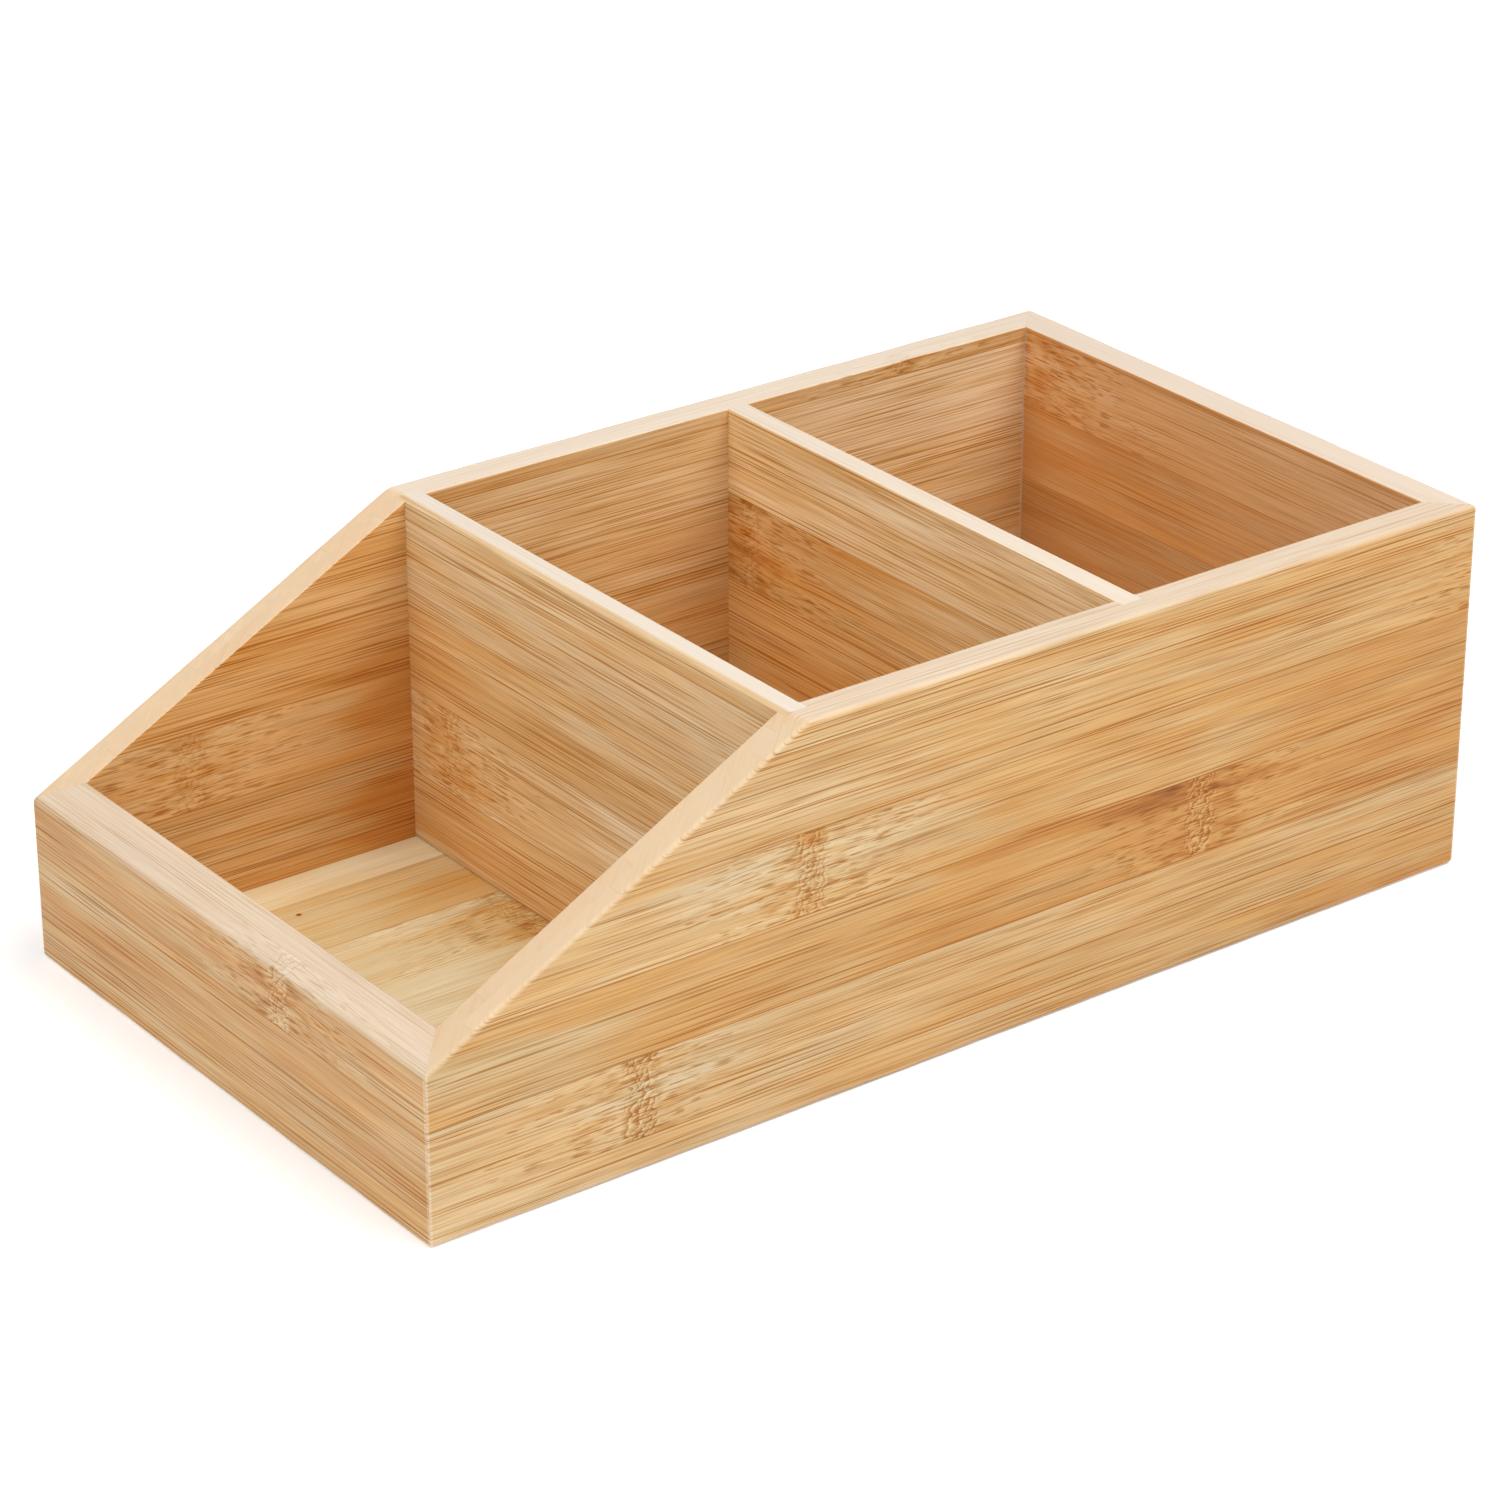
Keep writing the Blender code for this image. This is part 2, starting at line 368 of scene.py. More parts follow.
# %% [markdown]
# ## The two dividers
# Thinner boards that stand in the grooves with their tops flush with the rim. The slope just
# catches the front divider: its front edge is planed away with the side boards' slope, so its
# section has one more corner. The edges are eased only between the walls, because in the grooves
# they have to fit.

# %% Shapes the dividers
DIVIDER_EASE = 0.35
SHOULDER_EASE = 0.4
PLANED_ROUGH = 0.35


def divider(name, low, high):
    """A board across the box. In words: a five-cornered section in y and z, carried along x."""
    front, back = low[1], high[1]
    reach_x = high[0]
    shoulder = knee_y if front < knee_y < back else (front + back) / 2
    inner = inner_half_width
    free = np.linspace(-inner + GROOVE_STEP, inner - GROOVE_STEP, int(2 * inner / STATION))
    fitted = np.array([-reach_x, -inner - GROOVE_STEP, inner + GROOVE_STEP, reach_x])
    x = np.sort(np.concatenate([free, fitted]))
    is_free = np.abs(x) < inner
    y_corners = np.array([front, front, shoulder, back, back])
    z_corners = top_height(y_corners)
    z_corners[[0, -1]] = low[2]
    z_corners[2] = height
    corners = np.broadcast_to(np.stack([y_corners, z_corners], 1), (len(x), 5, 2)).copy()
    top = np.where(is_free, DIVIDER_EASE, FITTED_EASE)
    hair = np.full(len(x), HAIR_EASE)
    shoulder_ease = np.full(len(x), SHOULDER_EASE)
    reach = np.stack([hair, top, shoulder_ease, top, hair], 1)
    outline = eased(corners, reach)
    rings = np.concatenate([np.broadcast_to(x[:, None, None], outline.shape[:2] + (1,)), outline], 2)
    planed = 1 if front < knee_y < back else 0
    rough = PLANED_ROUGH * planed
    edge = around((1, 0, 1 - planed, 1, 0), (0, 1 - planed, 1, 0, 1))
    return skin(name, rings, edge, around((0, 0, rough, 0, 0), (0, rough, 0, 0, 0)))


for name, (low, high) in zip(("front_divider_board", "rear_divider_board"), divider_boxes):
    divider(name, low, high)

# %% [markdown]
# ## The floor
# One thin board glued up from wider strips, grain front to back. It is dropped into the rebate from
# below, so only its top shows, and its underside stays half a millimetre clear of the table.


# %% Shapes the floor
def floor_board(name, low, high):
    """The floor. In words: a rectangle in x and z, carried along y."""
    y = np.linspace(low[1], high[1], int((high[1] - low[1]) / STATION))
    corners = np.array([[low[0], low[2]], [low[0], high[2]], [high[0], high[2]], [high[0], low[2]]])
    corners = np.broadcast_to(corners, (len(y), 4, 2)).copy()
    outline = eased(corners, np.full((len(y), 4), HAIR_EASE))
    y = np.broadcast_to(y[:, None], outline.shape[:2])
    rings = np.stack([outline[:, :, 0], y, outline[:, :, 1]], 2)
    return skin(name, rings, around((0, 1, 0, 1), (1, 0, 1, 0)), np.zeros(1))


floor_board("floor_board", floor_low, floor_high)

# %% [markdown]
# ## Strip bamboo from nodes
# The boards are carbonised moso bamboo: strips of culm steamed until the sugar in them browns, hot
# pressed side by side, planed, sanded and sprayed with a clear satin lacquer. What that gives the
# eye: long straight fibres, a soft honey tone that wanders from strip to strip, fine dark lines
# where bundles of fibres come to the surface, and once in a while a knuckle, where the culm had a
# joint: a band of curls across one strip, with broken, flame-like grain on both sides.
#
# The pattern is solid, like the wood: it is worked out from the place inside the board, so it runs
# over the eased edges without a seam. First come two helpers. One turns a hex colour, which is what
# a colour picker shows, into the linear numbers that shaders want. The other adds a node.

# %% Colours and a helper for nodes
SOFT = {"interpolation_type": "SMOOTHSTEP"}


def linear(colour):
    """Turns an sRGB hex colour into the linear numbers that shaders use, by the sRGB curve."""
    values = np.array([int(colour[place:place + 2], 16) for place in (1, 3, 5)]) / 255
    values = np.where(values <= 0.04045, values / 12.92, ((values + 0.055) / 1.055) ** 2.4)
    return (*values.tolist(), 1.0)


def put(tree, kind, inputs=(), **settings):
    """Adds one shader node. The kind is followed by the operation, where a node has one. Inputs are
    numbers, colours, other nodes or their outputs, in order or by the name or number of the socket.
    """
    kind, *operation = kind.split()
    made = tree.nodes.new("ShaderNode" + kind)
    if operation:
        made.operation = operation[0]
    for option, value in settings.items():
        setattr(made, option, value)
    for place, value in inputs.items() if isinstance(inputs, dict) else enumerate(inputs):
        if isinstance(value, bpy.types.Node):
            value = next(output for output in value.outputs if output.enabled)
        if isinstance(value, bpy.types.NodeSocket):
            tree.links.new(value, made.inputs[place])
        else:
            made.inputs[place].default_value = value
    return made


print("honey in linear numbers:", [round(value, 3) for value in linear("#d8a870")])

# %% [markdown]
# The sizes of the grain come from real bamboo. Fibre bundles are a few tenths of a millimetre wide
# and run the whole length of a strip, and the soft bands of tone are some millimetres wide. Each
# pattern is a noise stretched along the grain: its first number is how long a feature is, its
# second how wide, both in millimetres, and its third how much finer detail it has.

# %% The grain's real sizes
GRAIN_MM = {
    "wander": (60, 14, 0),
    "bands": (260, 6.0, 1),
    "clouds": (60, 9.0, 1),
    "steam": (50, 6.0, 1),
    "strength": (50, 3.2, 1),
    "threads": (26, 0.46, 1),
    "flames": (34, 2.6, 1),
    "dashes": (6.5, 0.48, 1),
    "curls": (2.6, 2.0, 0),
    "blush": (13.0, 3.6, 1),
}
# Each set of lines: millimetres between them, how far one shows, half its width, how dark it is
BUNDLES_MM = {
    "long": (1.35, 90.0, 0.24, 1.0),
    "short": (0.92, 26.0, 0.20, 0.75),
}
JOINT_MM = 0.25
KNUCKLE_BAND_MM = (2.6, 5.6)
KNUCKLE_REACH_MM = (12.0, 38.0)
KNUCKLE_SCALES_MM = (1.55, 1.1)
for word, (length, breadth, detail) in GRAIN_MM.items():
    print(f"{word}: features about {length} mm long and {breadth} mm wide")

# %% [markdown]
# ### Which strip is this?
# A wall is pressed from two layers of strips, and the strips' joints of one layer don't meet those
# of the other. So a point's strip follows from three things: how far it lies across the grain, how
# wide a strip is, and in which layer it is. Every strip gets a number, and from the number its own
# random draws, just as every real strip comes from another culm.

# %% Finds the strip that a point lies in
FIRST_OUTER_STRIP = 50.0
SHIFT_MM = 900.0
THROUGH_SHARE = 0.7


def off_middle(tree, counted, middle):
    """|fraction of counted - middle|: how far a point is from a line in its own strip or bundle."""
    off = put(tree, "Math FRACT", [counted])
    return put(tree, "Math ABSOLUTE", [put(tree, "Math SUBTRACT", [off, middle])])


def find_strip(tree, axes, strips):
    """Where the shaded point lies: along, across and deep in millimetres, its strip and its joint.

    The strip's number is (across - edge) / width, rounded down. The outer layer's numbers are
    raised, so that they differ from the inner layer's. The joint is 1 on the line between two
    strips and 0 a hair further. The point of the pattern is (along, across + a share of deep),
    moved by random draws of the strip, so that each strip shows another part of the pattern.
    """
    outer_edge, inner_edge, width, meet = strips
    place = SimpleNamespace()
    place.metres = put(tree, "TexCoord").outputs["Object"]
    millimetres = put(tree, "VectorMath SCALE", {0: place.metres, "Scale": 1 / MILLIMETRE})
    parts = put(tree, "SeparateXYZ", [millimetres])
    place.along, place.across, deep = (parts.outputs[axis] for axis in axes)

    depth = put(tree, "Math ABSOLUTE", [deep])
    place.layer = put(tree, "Math GREATER_THAN", [depth, meet])
    edge = put(tree, "MapRange", {0: place.layer, 3: inner_edge, 4: outer_edge})
    from_edge = put(tree, "Math SUBTRACT", [place.across, edge])
    in_strips = put(tree, "Math DIVIDE", [from_edge, width])
    number = put(tree, "Math FLOOR", [in_strips])
    place.number = put(tree, "Math MULTIPLY_ADD", [place.layer, FIRST_OUTER_STRIP, number])
    chance = put(tree, "TexWhiteNoise", {"W": place.number}, noise_dimensions="1D").outputs["Color"]
    place.draws = put(tree, "SeparateColor", [chance])

    to_joint = off_middle(tree, in_strips, 0.5)
    place.joint = put(tree, "MapRange", [to_joint, 0.5 - JOINT_MM / width, 0.5], **SOFT)

    round_the_edge = put(tree, "Math MULTIPLY_ADD", [deep, THROUGH_SHARE, place.across])
    point = put(tree, "CombineXYZ", [place.along, round_the_edge])
    shift = put(tree, "VectorMath SCALE", {0: chance, "Scale": SHIFT_MM})
    place.point = put(tree, "VectorMath ADD", [point, shift])
    return place


def in_strip(tree, place, layer, strip):
    """1 where the point lies in this strip of this layer, 0 elsewhere."""
    wanted = strip + FIRST_OUTER_STRIP * layer
    return put(tree, "Math COMPARE", [place.number, wanted, 0.5])


print("each strip shows a part of the pattern up to", SHIFT_MM, "mm away from its neighbour's")

# %% [markdown]
# ### How far is the nearest knuckle?
# A culm has a knuckle only every few hand spans, so most strips show none and some show one. The
# grain changes with the distance to it: curls in the knuckle itself, broken grain beside it, and
# straight grain from a few centimetres on.

# %% Measures the way to the knuckle of the same strip
FAR_AWAY_MM = 500.0


def find_knuckle(tree, place, knuckles):
    """The way to the knuckle of the point's own strip in millimetres, and how bold the knuckle is.

    The way is |along - knuckle|. A knuckle of another strip counts as very far away, and the
    smallest of the ways is the one that counts.
    """
    nearest, bold = FAR_AWAY_MM, 0.0
    for layer, strip, where, boldness in knuckles:
        same = in_strip(tree, place, layer, strip)
        away = put(tree, "Math SUBTRACT", [place.along, where])
        away = put(tree, "Math ABSOLUTE", [away])
        other = put(tree, "MapRange", {0: same, 3: FAR_AWAY_MM, 4: 0.0})
        away = put(tree, "Math ADD", [away, other])
        nearest = put(tree, "Math MINIMUM", [nearest, away])
        bold = put(tree, "Math MULTIPLY_ADD", [same, boldness, bold])
    return nearest, bold


print("broken grain fades between", *KNUCKLE_REACH_MM, "mm from a knuckle")

# %% [markdown]
# ### Noises along the grain
# All soft changes in the wood are noises that are much longer than wide. The first one bends the
# fibres: it moves the point sideways before the others read it, a little everywhere and more
# beside a knuckle, where real fibres swing round the joint.

# %% Stretches the noises
FADES = (1.0, 0.0)
BEND_MM = (0.35, 2.2)
BEND_REACH_MM = (4.0, 40.0)
FLAME_MM = 75.0


def grain_noises(tree, place, nearest):
    """One noise for each pattern: its value at (along / length, across / breadth).

    Also gives where the broken grain is: 1 near a knuckle and 0 far from it, with an edge that is
    drawn out into flames by one of the noises.
    """
    close = put(tree, "MapRange", [nearest, *BEND_REACH_MM, *FADES], **SOFT)
    field = {}
    for word, (length, breadth, detail) in GRAIN_MM.items():
        shrink = (1 / length, 1 / breadth, 0.0)
        stretched = put(tree, "VectorMath MULTIPLY", [place.point, shrink])
        noise = {"Vector": stretched, "Scale": 1.0, "Detail": float(detail)}
        field[word] = put(tree, "TexNoise", noise, noise_dimensions="2D")
        if word == "wander":
            bend = put(tree, "MapRange", {0: close, 3: BEND_MM[0], 4: BEND_MM[1]})
            swing = put(tree, "Math SUBTRACT", [field[word], 0.5])
            swing = put(tree, "Math MULTIPLY", [swing, bend])
            sideways = put(tree, "CombineXYZ", {1: swing})
            place.point = put(tree, "VectorMath ADD", [place.point, sideways])
    flame = put(tree, "Math SUBTRACT", [field["flames"], 0.5])
    flame = put(tree, "Math MULTIPLY_ADD", [flame, FLAME_MM, nearest])
    return field, put(tree, "MapRange", [flame, *KNUCKLE_REACH_MM, *FADES], **SOFT)


print(len(GRAIN_MM), "noises, the finest", min(sizes[1] for sizes in GRAIN_MM.values()), "mm wide")

# %% [markdown]
# ### Fibre lines
# Beside each bundle of fibres runs a thin dark line. A plain stretched noise looks too blurred for
# that, so the lines are laid one by one: the point's place across the grain is counted in bundles,
# and each bundle draws by chance where in its width the line is, how wide it is, and along which
# stretches it shows.

# %% Draws the lines one bundle at a time
LINE_MIDDLE = (0.25, 0.75)
LINE_WIDTH = (0.6, 1.5)
LINE_SHOWS = (0.38, 0.58)
ROW_STEP = 3.7
GROUPS_SHOW = (0.4, 0.6)
FAINT_GROUP = 0.35
LINES_AT_KNUCKLE = 0.2
JOINT_SHOWS = 0.8


def bundle_lines(tree, place, fine):
    """Dark lines along the grain, 1 in the middle of a line and 0 beside it.

    A bundle's number is across / pitch, rounded down, and the rest tells how far the point is from
    the bundle's line. A noise read at (along / length, number) lets the line come and go.
    """
    bent = put(tree, "SeparateXYZ", [place.point])
    lines = 0.0
    for pitch, length, half_width, share in BUNDLES_MM.values():
        bundles = put(tree, "Math DIVIDE", [bent.outputs["Y"], pitch * fine])
        bundle = put(tree, "Math FLOOR", [bundles])
        luck = put(tree, "TexWhiteNoise", {"W": bundle}, noise_dimensions="1D")
        luck = put(tree, "SeparateColor", [luck.outputs["Color"]])
        middle = put(tree, "MapRange", {0: luck.outputs[0], 3: LINE_MIDDLE[0], 4: LINE_MIDDLE[1]})
        off_line = off_middle(tree, bundles, middle)
        reach = half_width / (pitch * fine)
        widths = {0: luck.outputs[1], 3: LINE_WIDTH[0] * reach, 4: LINE_WIDTH[1] * reach}
        reach = put(tree, "MapRange", widths)
        line = put(tree, "MapRange", [off_line, 0.0, reach, share, 0.0], **SOFT)
        travelled = put(tree, "Math DIVIDE", [bent.outputs["X"], length])
        own_row = put(tree, "Math MULTIPLY", [bundle, ROW_STEP])
        spot = put(tree, "CombineXYZ", [travelled, own_row])
        shows = {"Vector": spot, "Scale": 1.0, "Detail": 1.0}
        shows = put(tree, "TexNoise", shows, noise_dimensions="2D")
        shows = put(tree, "MapRange", [shows, *LINE_SHOWS])
        line = put(tree, "Math MULTIPLY", [line, shows])
        lines = put(tree, "Math MAXIMUM", [line, lines])
    return lines


def board_lines(tree, place, grain, lined, fine):
    """The bundles' lines, which come and go in groups and give way beside a knuckle, and the joints."""
    lines = bundle_lines(tree, place, fine)
    groups = [grain.field["strength"], *GROUPS_SHOW, FAINT_GROUP, 1.0]
    calm = {0: grain.near, 3: 1.0, 4: LINES_AT_KNUCKLE}
    for weight in (put(tree, "MapRange", groups), put(tree, "MapRange", calm), lined):
        lines = put(tree, "Math MULTIPLY", [lines, weight])
    joint = put(tree, "Math MULTIPLY", [place.joint, JOINT_SHOWS])
    return put(tree, "Math MAXIMUM", [joint, lines])


print("long lines lie", BUNDLES_MM["long"][0], "mm apart, short ones", BUNDLES_MM["short"][0], "mm")

# %% [markdown]
# ### Curls and broken grain
# In a knuckle the fibres turn this way and that, and the plane cuts them slantwise. It looks like
# little fish scales, each dark on one side. That dark side is partly the fibres' own colour and
# partly painted shade, as if each scale were a small bump lit from one side. A cell pattern gives
# that: its cells are the scales, twisted by two of the noises, and how far a point lies to one side
# of its cell's middle is how dark it is.

# %% Curls the knuckles
SCALE_TWIST = 1.6
SHADED_SIDE = (0.75, -0.65, 0.0)
RAGGED_MM = 5.0
DASH_SHOWS = (0.52, 0.64)
CURL_SHOWS = (0.0, 0.4)
BLUSH_SHOWS = (0.45, 0.68)
BLUSH_REACH_MM = (4.0, 20.0)


def knuckle_grain(tree, place, field, nearest, near):
    """The parts of a knuckle: its band, its scales' shaded side, their dark rims, dashes and blush.

    The band is where the way to the knuckle, made ragged by a noise, is short. The shaded side is
    the dot product of (point - middle of its cell) with one fixed direction: painted shade, partly
    the fibres' own darker colour.
    """
    knuckle = SimpleNamespace()
    dashes = put(tree, "MapRange", [field["dashes"], *DASH_SHOWS], **SOFT)
    knuckle.dashes = put(tree, "Math MULTIPLY", [dashes, near])
    ragged = put(tree, "Math MULTIPLY_ADD", [field["blush"], RAGGED_MM, nearest])
    ragged = put(tree, "Math SUBTRACT", [ragged, RAGGED_MM / 2])
    knuckle.band = put(tree, "MapRange", [ragged, *KNUCKLE_BAND_MM, *FADES], **SOFT)

    twisted = put(tree, "CombineXYZ", [field["curls"], field["dashes"]])
    shrink = (1 / KNUCKLE_SCALES_MM[0], 1 / KNUCKLE_SCALES_MM[1], 0.0)
    scales = put(tree, "VectorMath MULTIPLY", [place.point, shrink])
    scales = put(tree, "VectorMath MULTIPLY_ADD", [twisted, (SCALE_TWIST, SCALE_TWIST, 0.0), scales])
    cell = put(tree, "TexVoronoi", {"Vector": scales, "Scale": 1.0}, voronoi_dimensions="2D")
    from_middle = put(tree, "VectorMath SUBTRACT", [scales, cell.outputs["Position"]])
    # Painted shade, partly the scales' own colour: one fixed side of each scale is the dark one.
    knuckle.shaded = put(tree, "VectorMath DOT_PRODUCT", [from_middle, SHADED_SIDE])
    knuckle.curls = put(tree, "MapRange", [knuckle.shaded, *CURL_SHOWS], **SOFT)
    blush = put(tree, "MapRange", [field["blush"], *BLUSH_SHOWS], **SOFT)
    beside = put(tree, "MapRange", [nearest, *BLUSH_REACH_MM, *FADES], **SOFT)
    knuckle.blush = put(tree, "Math MULTIPLY", [blush, beside])
    return knuckle


print("a knuckle is about", 2 * KNUCKLE_BAND_MM[0], "mm wide and its scales", KNUCKLE_SCALES_MM[0], "mm")

# %% [markdown]
# ### Tone
# How light the wood is counts from 0 to 1. It adds up from what the strip has of its own and from
# places where sap had gathered or been washed out: a long streak, or a blotch beside a knuckle. Two
# such places are painted shade instead, in the corner beside the front divider.

# %% Gives each strip a tone of its own
MIDDLE_TONE = 0.58
STRIP_SPREAD = 0.08
DRIFT_MM = 100.0


def strip_tone(tree, place, looks, straw):
    """The tone, the straw colour and the strength of the lines that each strip has of its own.

    The tone is the middle one plus a small random draw plus, for a strip in looks, lighter +
    drift * along / DRIFT_MM.
    """
    tone = put(tree, "Math MULTIPLY_ADD", [place.draws.outputs[0], STRIP_SPREAD, MIDDLE_TONE])
    pale, lined = straw, 1.0
    for (layer, strip), (lighter, drift, more_straw, line_share) in looks.items():
        same = in_strip(tree, place, layer, strip)
        own = put(tree, "Math MULTIPLY_ADD", [place.along, drift / DRIFT_MM, lighter])
        tone = put(tree, "Math MULTIPLY_ADD", [same, own, tone])
        pale = put(tree, "Math MULTIPLY_ADD", [same, more_straw, pale])
        lined = put(tree, "Math MULTIPLY_ADD", [same, line_share - 1.0, lined])
    return tone, pale, lined


print("strips are up to", STRIP_SPREAD, "lighter than the middle tone by chance")

# %% Stains and bleaches soft places, and paints shade beside the front divider
STAIN_UNEVEN = 2.4
STAIN_FADE = (0.3, 1.2)


def sap_stains_and_shade(tree, place, field, stains_and_shade, tone, pale):
    """Darkens or bleaches soft places, each a long ellipse.

    A stain is (layer, along, across, half length, half breadth, how much darker, how much more
    honey). How far out a point is, is the length of its offset counted in half sizes, and a noise
    makes the outline uneven. Some stains are painted shade rather than sap.
    """
    uneven = put(tree, "Math SUBTRACT", [field["clouds"], 0.5])
    flat = put(tree, "CombineXYZ", [place.along, place.across])
    for layer, along, across, half_length, half_breadth, darker, honey in stains_and_shade:
        off = put(tree, "VectorMath SUBTRACT", [flat, (along, across, 0.0)])
        halves = (1 / half_length, 1 / half_breadth, 0.0)
        off = put(tree, "VectorMath MULTIPLY", [off, halves])
        out = put(tree, "VectorMath LENGTH", [off])
        out = put(tree, "Math MULTIPLY_ADD", [uneven, STAIN_UNEVEN, out])
        here = put(tree, "Math COMPARE", [place.layer, float(layer), 0.5])
        amount = put(tree, "MapRange", [out, *STAIN_FADE, *FADES], **SOFT)
        amount = put(tree, "Math MULTIPLY", [amount, here])
        tone = put(tree, "Math MULTIPLY_ADD", [amount, -darker, tone])
        pale = put(tree, "Math MULTIPLY_ADD", [amount, -honey, pale])
    return tone, pale


print("a stain is fully there up to", STAIN_FADE[0], "of its half size from the middle")

# %% [markdown]
# ### Steam
# The steam browned the wood more here and less there. So there are two rows of colours, honey for
# well steamed wood and straw for paler wood, and the real one lies somewhere between them.

# %% Turns the tone into wood
HONEY = {
    0.0: "#844a1d", 0.2: "#b06f30", 0.4: "#ca8c49", 0.55: "#d6a160",
    0.7: "#deb27a", 0.85: "#e6c597", 1.0: "#f2ddc0",
}
STRAW = {
    0.0: "#844a1d", 0.2: "#b0783b", 0.4: "#c69a61", 0.55: "#d2b081",
    0.7: "#dbc09a", 0.85: "#e4ceaf", 1.0: "#f1e3d0",
}


def steamed_wood(tree, tone, pale):
    """The wood's colour: honey and straw read at this tone, and mixed by how pale the wood is."""
    woods = []
    for colours in (HONEY, STRAW):
        wood = put(tree, "ValToRGB", [tone])
        stops = wood.color_ramp.elements
        for spot, (position, colour) in enumerate(colours.items()):
            stop = stops[spot] if spot < 2 else stops.new(position)
            stop.position = position
            stop.color = linear(colour)
        woods.append(wood)
    return put(tree, "Mix", {0: pale, 6: woods[0], 7: woods[1]}, data_type="RGBA", clamp_factor=True)


print("middle tone lies between", HONEY[0.55], "and", HONEY[0.7])

# %% [markdown]
# ### Bare wood
# From here on the parts come together, in the order in which the board itself was made. First the
# bare wood: the noises make the strip's own tone a little lighter or darker, and in a knuckle each
# scale is light on one side and dark on the other, partly its own colour and partly painted shade.

# %% Makes the bare wood
BANDS_TONE = 0.18
CLOUDS_TONE = 0.24
NEAR_KNUCKLE_TONE = 0.05
BLUSH_TONE = -0.22
SCALE_SIDES = (-0.4, 0.2)
SCALE_TONES = (0.76, 0.48)
STEAM_CHANGE = 1.4


def bare_wood(tree, place, grain, tone, pale, stains_and_shade, bold_grain):
    """The colour of the bare wood.

    The tone is the strip's own plus the sum of (pattern - its middle) * its share. In a knuckle it
    is the tone of the scales instead, between light and dark with the place on the scale, which is
    partly painted shade.
    """
    for source, share, middle in (
        (grain.field["bands"], BANDS_TONE * bold_grain, 0.5),
        (grain.field["clouds"], CLOUDS_TONE * bold_grain, 0.5),
        (grain.near, NEAR_KNUCKLE_TONE, 0.0),
        (grain.knuckle.blush, BLUSH_TONE, 0.0),
    ):
        level = put(tree, "Math SUBTRACT", [source, middle])
        tone = put(tree, "Math MULTIPLY_ADD", [level, share, tone])
    # Painted shade, partly the scales' own colour: each scale is darker on one fixed side.
    scales = put(tree, "MapRange", [grain.knuckle.shaded, *SCALE_SIDES, *SCALE_TONES])
    tone = put(tree, "Mix", {0: grain.curled, 2: tone, 3: scales})
    steamed = put(tree, "Math SUBTRACT", [grain.field["steam"], 0.5])
    pale = put(tree, "Math MULTIPLY_ADD", [steamed, STEAM_CHANGE, pale])
    if stains_and_shade:
        tone, pale = sap_stains_and_shade(tree, place, grain.field, stains_and_shade, tone, pale)
    return steamed_wood(tree, tone, pale)


print("bands change the tone by up to", BANDS_TONE / 2, "and clouds by up to", CLOUDS_TONE / 2)

# %% [markdown]
# ### Sanding, fibres and saw
# Sanding cuts through the steamed skin, so the narrow edges are paler; part of that paleness is a
# painted highlight, standing in for the strong light on the rims and the upright corners. The fibres
# stain the wood brown: fine threads everywhere, the bundles' lines, dashes beside a knuckle and the
# dark sides of its scales, which are partly painted shade. On the pale edges little of that shows.
# Where the saw crossed the fibres, their cut ends leave the wood dull and mottled.

# %% Works the surface
RIM_CREAM_AND_HIGHLIGHT = "#e2d6c7"
SAWN_CREAM = "#d0b798"
FIBRE_STAIN_AND_SHADE = "#c8a05a"
SAWN_RIM_SHARE = 0.4
THREADS_STAIN = 0.95
ALL_OVER_STAIN = 0.12
LINES_STAIN = 1.1
DASHES_STAIN = 0.6
CURLS_STAIN_AND_SHADE = 0.7
SAWN_STAIN_SHARE = 0.4
RIM_STAIN_SHARE = 0.1
CUT_ENDS_PER_METRE = 330.0
CUT_ENDS_DETAIL = 3.0
CUT_ENDS_SHOW = (0.35, 0.65)
DULLNESS = (0.55, 0.85)


